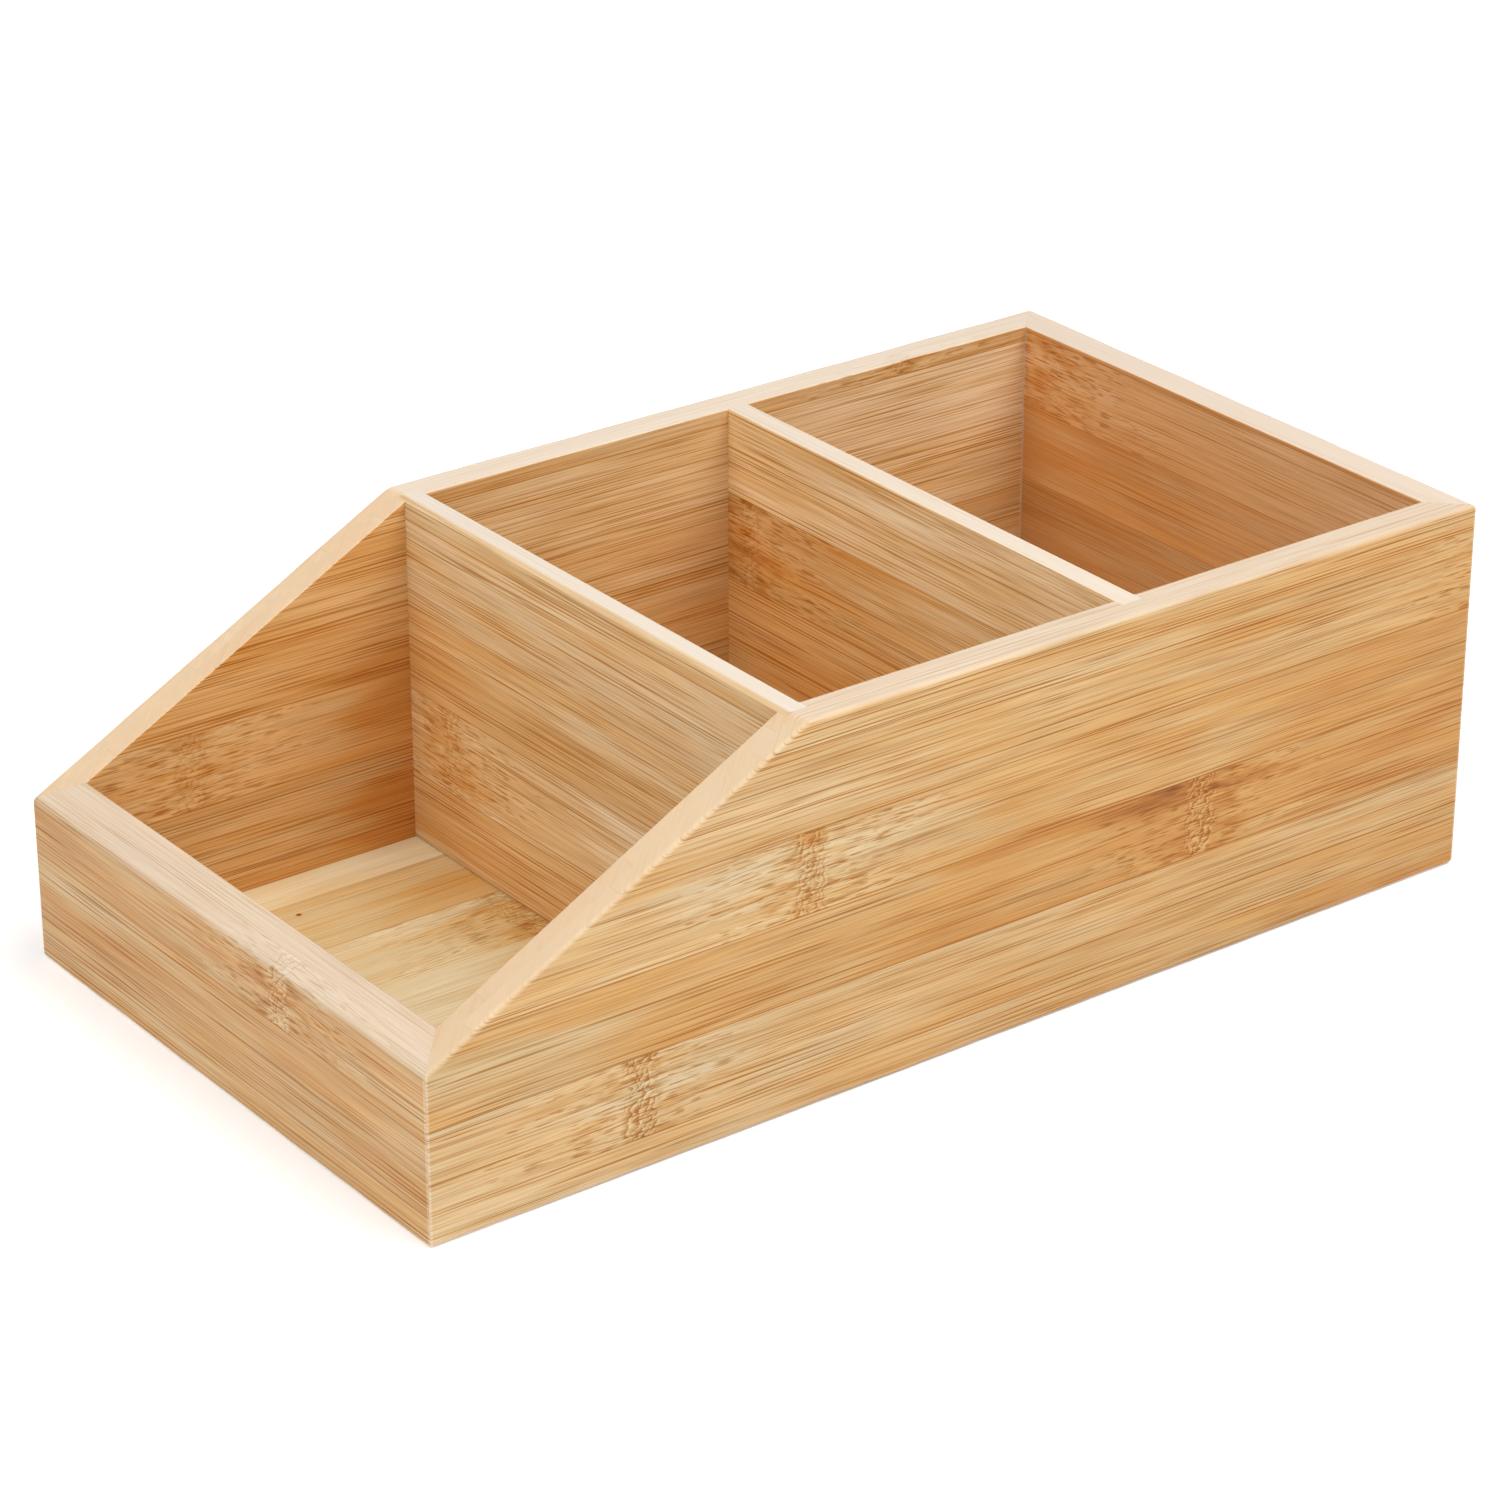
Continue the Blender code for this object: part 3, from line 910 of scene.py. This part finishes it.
def worked_surface(tree, place, grain, wood, rim, bold_grain):
    """The colour of the sanded, stained and sawn surface.

    The narrow edges are mixed with cream by edge * rim, partly real sanding and partly a painted
    highlight. The stain multiplies the wood's colour, as strongly as the sum of the threads, lines,
    dashes and curls, each times its share; the curls' part is partly painted shade.
    """
    edge = put(tree, "Attribute", attribute_name="edge").outputs["Fac"]
    sawn = put(tree, "Attribute", attribute_name="sawn").outputs["Fac"]
    # The paleness of the narrow edges is partly sanded wood and partly a painted highlight.
    rim_here = put(tree, "MapRange", {0: sawn, 3: rim, 4: SAWN_RIM_SHARE * rim})
    paler_and_highlit = put(tree, "Math MULTIPLY", [edge, rim_here])
    wood = put(tree, "Mix", {0: paler_and_highlit, 6: wood, 7: linear(RIM_CREAM_AND_HIGHLIGHT)}, data_type="RGBA")

    # The dark sides of the knuckle's scales: partly the fibres' stain, partly painted shade.
    open_curls_and_shade = put(tree, "Math MULTIPLY", [grain.knuckle.curls, grain.curled])
    threads = THREADS_STAIN * bold_grain
    stain_and_shade = [grain.field["threads"], -threads, threads / 2 + ALL_OVER_STAIN]
    stain_and_shade = put(tree, "Math MULTIPLY_ADD", stain_and_shade)
    for source, share in (
        (grain.lines, LINES_STAIN * bold_grain),
        (grain.knuckle.dashes, DASHES_STAIN),
        (open_curls_and_shade, CURLS_STAIN_AND_SHADE),
    ):
        stain_and_shade = put(tree, "Math MULTIPLY_ADD", [source, share, stain_and_shade])
    for where, share in ((sawn, SAWN_STAIN_SHARE), (paler_and_highlit, RIM_STAIN_SHARE)):
        fainter = put(tree, "MapRange", {0: where, 3: 1.0, 4: share})
        stain_and_shade = put(tree, "Math MULTIPLY", [stain_and_shade, fainter])
    stained = {0: stain_and_shade, 6: wood, 7: linear(FIBRE_STAIN_AND_SHADE)}
    wood = put(tree, "Mix", stained, data_type="RGBA", blend_type="MULTIPLY", clamp_factor=True)

    speckle = {"Vector": place.metres, "Scale": CUT_ENDS_PER_METRE, "Detail": CUT_ENDS_DETAIL}
    speckle = put(tree, "TexNoise", speckle)
    duller = put(tree, "MapRange", [speckle, *CUT_ENDS_SHOW, *DULLNESS])
    duller = put(tree, "Math MULTIPLY", [duller, sawn])
    return put(tree, "Mix", {0: duller, 6: wood, 7: linear(SAWN_CREAM)}, data_type="RGBA")


print("the cut ends on a sawn edge are", round(1 / (CUT_ENDS_PER_METRE * MILLIMETRE)), "mm across")

# %% [markdown]
# ### Satin lacquer
# Clear satin lacquer on bamboo is smooth, but not a mirror, and this one is thin, so it shines less
# than a thick coat would. It sinks a little into the open pores and is a touch rougher there.

# %% Sprays the lacquer
LACQUER_ROUGHNESS = 0.42
PORES_ROUGHER = 0.16
LACQUER_SHINE = 0.2
PORE_DEPTH = 0.00006
CURLS_SINK = 1.6
SUNKEN_SHOWS = 0.35


def satin_lacquer(tree, grain, colour):
    """The shader. Pores are the largest of lines, dashes and curls, and the height falls with them."""
    curls = put(tree, "Math MULTIPLY", [grain.knuckle.curls, grain.knuckle.band])
    pores = put(tree, "Math MAXIMUM", [grain.lines, grain.knuckle.dashes])
    pores = put(tree, "Math MAXIMUM", [pores, curls])
    rough = put(tree, "Math MULTIPLY_ADD", [pores, PORES_ROUGHER, LACQUER_ROUGHNESS])
    height = put(tree, "Math MULTIPLY_ADD", [pores, -1.0, grain.field["threads"]])
    height = put(tree, "Math MULTIPLY_ADD", [curls, -CURLS_SINK, height])
    bump = {"Height": height, "Strength": SUNKEN_SHOWS, "Distance": PORE_DEPTH}
    surface = {"Base Color": colour, "Roughness": rough, "Normal": put(tree, "Bump", bump)}
    surface["Specular IOR Level"] = LACQUER_SHINE
    return put(tree, "BsdfPrincipled", surface)


print("pores are", round(PORE_DEPTH / MILLIMETRE, 3), "mm deep")

# %% [markdown]
# ### One board's bamboo
# One function puts it all together for one board. What differs from board to board comes in as
# numbers: which way the grain runs, where the strips' joints and knuckles are, and the strips' looks.

# %% Puts one board's bamboo together
def strip_bamboo(name, axes, strips, knuckles, looks, straw=0.15, rim=0.6, fine=1.0, bold_grain=1.0,
                 cast=(1.0, 1.0, 1.0), stains_and_shade=()):
    """Strip bamboo for one board.

    axes says which object axes run along the grain, across the strips and through the board. strips
    is (edge of an outer strip, edge of an inner strip, width of a strip, where the two layers meet)
    in millimetres. A knuckle is (layer, strip number, place along the grain in millimetres, how bold
    it is). The look of a strip, named by (layer, strip number), is (lighter or darker, how much more
    of it 100 mm further along, how straw-coloured, how strong its lines). Layer 1 is the outer one.
    straw is for the whole board, rim is how pale its narrow edges are, partly as a painted highlight,
    fine narrows the lines, and bold_grain strengthens or weakens the grain. cast says how much redder,
    greener and bluer the board came out of the steam than the common colour. The stains are darker or
    bleached places, and two of them are painted shade beside the front divider.
    """
    material = bpy.data.materials.new(name)
    material.use_nodes = True
    tree = material.node_tree
    tree.nodes.clear()
    grain = SimpleNamespace()
    place = find_strip(tree, axes, strips)
    nearest, bold = find_knuckle(tree, place, knuckles)
    grain.field, grain.near = grain_noises(tree, place, nearest)
    grain.knuckle = knuckle_grain(tree, place, grain.field, nearest, grain.near)
    grain.curled = put(tree, "Math MULTIPLY", [grain.knuckle.band, bold])
    tone, pale, lined = strip_tone(tree, place, looks, straw)
    grain.lines = board_lines(tree, place, grain, lined, fine)
    wood = bare_wood(tree, place, grain, tone, pale, stains_and_shade, bold_grain)
    wood = put(tree, "Mix", {0: 1.0, 6: wood, 7: (*cast, 1.0)}, data_type="RGBA", blend_type="MULTIPLY")
    colour = worked_surface(tree, place, grain, wood, rim, bold_grain)
    put(tree, "OutputMaterial", {"Surface": satin_lacquer(tree, grain, colour)})
    return material


print("a board has grain", ", ".join(GRAIN_MM))

# %% [markdown]
# ## The side boards' finish
# The strips' joints and the knuckles are where a careful look at the real box finds them. On the
# two faces of a wall the strips don't line up, because the wall is pressed from two layers. The
# right board shows three bold knuckles outside, and a dark streak of sap runs into the last one.

# %% Fits the bamboo to the side boards
SIDE_MEET = inner_half_width + wall_thickness / 2
finishes = {}
finishes["right_side_board"] = dict(
    axes="YZX",
    strips=(8.0, 11.4, 20.6, SIDE_MEET),
    knuckles=((1, 0, -96.0, 0.9), (1, 1, 66.5, 0.8), (1, 2, -49.7, 0.7), (1, 3, 166.0, 0.9)),
    looks={
        (1, 4): (0.02, -0.064, 0.1, 1.0),
        (1, 3): (0.03, -0.071, 0.13, 1.0),
        (1, 2): (0.016, -0.092, 0.0, 0.75),
        (1, 1): (-0.071, -0.049, 0.04, 0.85),
        (1, 0): (-0.008, -0.049, 0.24, 0.95),
        (1, -1): (0.015, -0.121, 0.15, 0.8),
        (0, 1): (-0.14, 0.0, 0.0, 1.0),
        (0, 2): (-0.12, 0.0, 0.0, 1.0),
        (0, 3): (0.06, 0.0, 0.1, 1.0),
    },
    rim=0.68,
    bold_grain=1.1,
    stains_and_shade=(
        (1, 24.0, 47.2, 50.0, 3.0, 0.13, 0.65),
        (1, 58.0, 45.5, 12.0, 3.4, 0.05, 0.25),
        (1, 80.0, 45.6, 15.0, 3.6, 0.12, 0.6),
        (1, 60.0, 58.0, 18.0, 8.0, 0.05, 0.25),
        (1, 84.0, 40.0, 50.0, 10.0, 0.045, 0.7),
        (1, 58.0, 31.5, 9.0, 2.6, 0.08, 0.4),
        (1, -49.0, 66.8, 4.5, 2.6, 0.14, 0.5),
        (1, -52.0, 60.0, 48.0, 10.5, -0.04, -0.55),
        (1, -135.0, 36.0, 40.0, 10.0, 0.0, -0.7),
        (1, -99.0, 20.0, 25.0, 9.0, -0.03, -0.5),
        (1, -135.0, 14.0, 22.0, 9.0, 0.03, 0.0),
    ),
    cast=(0.92, 0.95, 0.92),
)
finishes["left_side_board"] = dict(
    axes="YZX",
    strips=(4.0, 11.0, 20.4, SIDE_MEET),
    knuckles=((0, 1, -115.0, 0.3), (0, 4, 102.0, 0.4), (1, 1, 40.0, 0.8), (1, 3, -20.0, 0.8)),
    looks={
        (1, 2): (0.12, 0.0, 0.2, 1.0),
        (1, 3): (0.1, 0.0, 0.2, 1.0),
        (0, 4): (0.183, -0.023, -0.05, 1.0),
        (0, 3): (0.178, 0.102, -0.24, 1.0),
        (0, 2): (0.104, 0.084, -0.1, 1.2),
        (0, 1): (0.097, 0.02, 0.11, 0.7),
        (0, 0): (-0.046, 0.0, 0.53, 0.9),
    },
    rim=0.85,
    fine=0.85,
    stains_and_shade=(
        # Painted shade: darker and more honey in the inner corner beside the front divider.
        (0, -48.0, 30.0, 26.0, 36.0, 0.14, 0.6),
        (0, -80.0, 66.0, 22.0, 10.0, 0.06, 0.3),
        (0, -64.0, 83.0, 28.0, 12.0, 0.11, 0.15),
        (0, 60.0, 80.0, 80.0, 26.0, -0.035, -0.05),
    ),
    cast=(1.13, 1.09, 0.98),
)
print("the side boards' layers meet", round(SIDE_MEET, 2), "mm from the middle of the box")

# %% [markdown]
# ## The end boards' finish
# The low front board is the palest wall, with one knuckle in its upper strip. The rear board is the
# reddest, and its inner face is calm, so its grain is weaker.

# %% Fits the bamboo to the end boards
END_MEET = inner_half_length + wall_thickness / 2
finishes["front_board"] = dict(
    axes="XZY",
    strips=(7.5, 11.0, 21.0, END_MEET),
    knuckles=((1, 1, 24.9, 0.6), (0, 0, -40.0, 0.6)),
    looks={
        (1, 1): (-0.138, 0.055, 0.13, 1.0),
        (1, 0): (-0.176, -0.034, 0.04, 1.0),
        (1, -1): (-0.056, 0.023, -0.1, 1.0),
        (0, 1): (-0.15, 0.0, 0.0, 1.0),
        (0, 0): (-0.15, 0.0, 0.0, 1.0),
    },
    straw=0.35,
    rim=0.6,
    cast=(0.86, 0.98, 1.19),
)
finishes["rear_board"] = dict(
    axes="XZY",
    strips=(6.0, 13.0, 20.6, END_MEET),
    knuckles=((1, 2, 30.0, 0.8), (1, 0, -50.0, 0.8), (0, 3, -62.0, 0.1)),
    looks={
        (0, 3): (0.097, 0.112, -0.88, 1.0),
        (0, 2): (-0.058, 0.139, 0.14, 0.9),
        (0, 1): (-0.059, 0.159, 0.76, 0.8),
        (0, 0): (-0.07, 0.0, 0.0, 0.8),
    },
    straw=0.0,
    rim=0.85,
    bold_grain=0.65,
    fine=0.85,
    cast=(1.04, 0.95, 0.93),
)
print("the end boards' layers meet", round(END_MEET, 2), "mm from the middle of the box")

# %% [markdown]
# ## The thin boards' finish
# The dividers and the floor are one layer thick. The dividers' tops are the palest edges of the box,
# partly as a painted highlight. The floor's strips are wider and nearly straw-coloured. One has a
# pinhole, and painted shade darkens the floor towards the front divider.

# %% Fits the bamboo to the dividers and the floor
finishes["front_divider_board"] = dict(
    axes="XZY",
    strips=(24.0, 24.0, 22.5, 0.0),
    knuckles=((1, 0, -56.6, 0.3),),
    looks={
        (1, 3): (-0.033, -0.09, 0.91, 1.0),
        (1, 2): (0.119, 0.077, 0.48, 1.0),
        (1, 1): (0.171, 0.193, -0.2, 1.0),
        (1, 0): (0.196, 0.168, -0.34, 1.0),
        (1, -1): (0.084, 0.061, -0.13, 1.0),
    },
    rim=0.94,
    fine=0.75,
    cast=(1.02, 1.04, 1.03),
)
finishes["rear_divider_board"] = dict(
    axes="XZY",
    strips=(50.0, 50.0, 24.0, 0.0),
    knuckles=((1, 0, -65.0, 0.3),),
    looks={
        (1, 1): (0.303, 0.057, 0.05, 1.0),
        (1, 0): (0.035, 0.28, 0.28, 1.0),
        (1, -1): (-0.038, -0.185, -0.06, 1.0),
    },
    rim=0.88,
    fine=0.75,
    cast=(1.1, 1.05, 0.91),
)
finishes["floor_board"] = dict(
    axes="YXZ",
    strips=(-12.9, -12.9, 24.4, -1.0),
    knuckles=((1, -1, -55.0, 0.4),),
    looks={
        (1, 0): (0.209, -0.03, 0.46, 0.7),
        (1, -1): (0.181, -0.03, 0.12, 0.8),
        (1, -2): (0.044, -0.02, 0.03, 1.0),
        (1, -3): (0.296, -0.03, -0.18, 0.3),
    },
    straw=0.7,
    bold_grain=0.5,
    stains_and_shade=(
        (1, -97.6, -56.0, 1.0, 0.8, 1.0, 5.0),
        # Painted shade: the floor darkens and turns more honey towards the front divider.
        (1, -50.0, 0.0, 34.0, 95.0, 0.1, 0.5),
    ),
    cast=(0.99, 1.06, 0.96),
)

for name, finish in finishes.items():
    material = strip_bamboo("strip_bamboo_" + name, **finish)
    boards[name].data.materials.append(material)
    print(name, "has", len(material.node_tree.nodes), "nodes")

# %% [markdown]
# ## Joining the frame
# Each board stands for the imported board in the same place. The box has no moving parts, so
# everything rides on one body.

# %% Each board stands for its packed board
stand_for = {
    "left_side_board": ("left_side", "wall_bamboo"),
    "right_side_board": ("right_side", "wall_bamboo"),
    "front_board": ("front_panel", "wall_bamboo"),
    "rear_board": ("rear_panel", "wall_bamboo"),
    "front_divider_board": ("front_divider", "divider_bamboo"),
    "rear_divider_board": ("rear_divider", "divider_bamboo"),
    "floor_board": ("floor_panel", "floor_bamboo"),
}
for name, (node, slot) in stand_for.items():
    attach(boards[name], "root")
    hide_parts(node)
print("boards standing for the frame:", len(stand_for))

# %% [markdown]
# ## The table
# A plain table rolled with matt white paint, as in a product photograph, so it shows no highlight.
# Away from the box it glows a little of itself, as a light table does, which keeps it pure white.

# %% Lays the table
TABLE_REACH = 6.0
TABLE_DROP = 0.0002
TABLE_CELLS = 24
TABLE_WHITE = "#fafafa"
TABLE_ROUGHNESS = 0.9
PURE_WHITE = "#ffffff"
GLOW_REACH = (0.12, 0.3)
TABLE_GLOW = (0.10, 0.4)


def table_top(name):
    """A level grid of square cells, just under the box."""
    places = np.linspace(-TABLE_REACH, TABLE_REACH, TABLE_CELLS + 1)
    x, y = np.meshgrid(places, places)
    points = np.stack([x, y, np.full_like(x, -TABLE_DROP)], 2).reshape(-1, 3)
    row = TABLE_CELLS + 1
    corner = (np.arange(TABLE_CELLS)[:, None] * row + np.arange(TABLE_CELLS)).ravel()
    faces = np.stack([corner, corner + 1, corner + row + 1, corner + row], 1)
    mesh = bpy.data.meshes.new(name)
    mesh.from_pydata(points.tolist(), [], faces.tolist())
    piece = bpy.data.objects.new(name, mesh)
    bpy.context.scene.collection.objects.link(piece)
    return piece


table = table_top("table")
paint = bpy.data.materials.new("matt_white_paint")
paint.use_nodes = True
paint.node_tree.nodes.clear()
spot = put(paint.node_tree, "TexCoord").outputs["Object"]
reach = put(paint.node_tree, "VectorMath LENGTH", [spot])
glow = put(paint.node_tree, "MapRange", [reach, *GLOW_REACH, *TABLE_GLOW])
white = {"Base Color": linear(TABLE_WHITE), "Roughness": TABLE_ROUGHNESS}
white |= {"Emission Color": linear(PURE_WHITE), "Emission Strength": glow}
white = put(paint.node_tree, "BsdfPrincipled", white)
put(paint.node_tree, "OutputMaterial", {"Surface": white})
table.data.materials.append(paint)
print("the table glows between", *GLOW_REACH, "m from the middle")

# %% [markdown]
# ## The light
# White walls all round, and four wide softboxes: two at the front, high and low, one at the right,
# and the strongest high over the back right corner, which leaves the near side of each divider's
# corner in shade. The shares of light were fitted to the faces in the photograph.

# %% Sets up the sky and the lamps
SKY_STRENGTH = 0.15
LAMP_SIDE = 1.2
LAMP_REACH = 1.6
# Each softbox: azimuth from the front towards the right, elevation, watts
LAMPS = {
    "front_softbox": (0, 50, 13.0),
    "low_softbox": (15, 30, 5.6),
    "right_softbox": (108, 47, 6.2),
    "back_softbox": (135, 65, 16.5),
}


def softbox(name, azimuth, elevation, watts):
    """A square lamp LAMP_REACH away in that direction, turned to face the middle of the box's foot."""
    azimuth, elevation = math.radians(azimuth), math.radians(elevation)
    flat = math.cos(elevation)
    towards = Vector((flat * math.sin(azimuth), -flat * math.cos(azimuth), math.sin(elevation)))
    lamp = bpy.data.lights.new(name, "AREA")
    lamp.shape = "SQUARE"
    lamp.size = LAMP_SIDE
    lamp.energy = watts
    stand = bpy.data.objects.new(name, lamp)
    stand.location = towards * LAMP_REACH
    stand.rotation_euler = towards.to_track_quat("Z", "Y").to_euler()
    bpy.context.scene.collection.objects.link(stand)


scene = bpy.context.scene
scene.view_settings.view_transform = "Standard"
scene.world = bpy.data.worlds.new("white_room")
scene.world.use_nodes = True
sky = scene.world.node_tree.nodes["Background"]
sky.inputs["Color"].default_value = linear(PURE_WHITE)
sky.inputs["Strength"].default_value = SKY_STRENGTH
for name, (azimuth, elevation, watts) in LAMPS.items():
    softbox(name, azimuth, elevation, watts)
print("lamps:", ", ".join(LAMPS))

# %% [markdown]
# ## The camera
# The photograph was taken with a long lens from the front right, about a metre away and well above
# the box. The numbers come from fitting a camera to the box's corners.

# %% Camera
CAMERA_LENS = 116.91
CAMERA_FILM = 36.0
CAMERA_SIGHT = 50.0
CAMERA_PLACE = (0.84264, -0.63699, 0.55198)
CAMERA_AZIMUTH = 53.059
CAMERA_ELEVATION = 25.728

lens = bpy.data.cameras.new("camera")
lens.lens = CAMERA_LENS
lens.sensor_width = CAMERA_FILM
lens.clip_end = CAMERA_SIGHT
camera = bpy.data.objects.new("camera", lens)
camera.location = CAMERA_PLACE
camera.rotation_euler = (math.radians(90 - CAMERA_ELEVATION), 0, math.radians(CAMERA_AZIMUTH))
scene.collection.objects.link(camera)
scene.camera = camera
print("the camera is", round(camera.location.length, 3), "m from the middle of the box's foot")
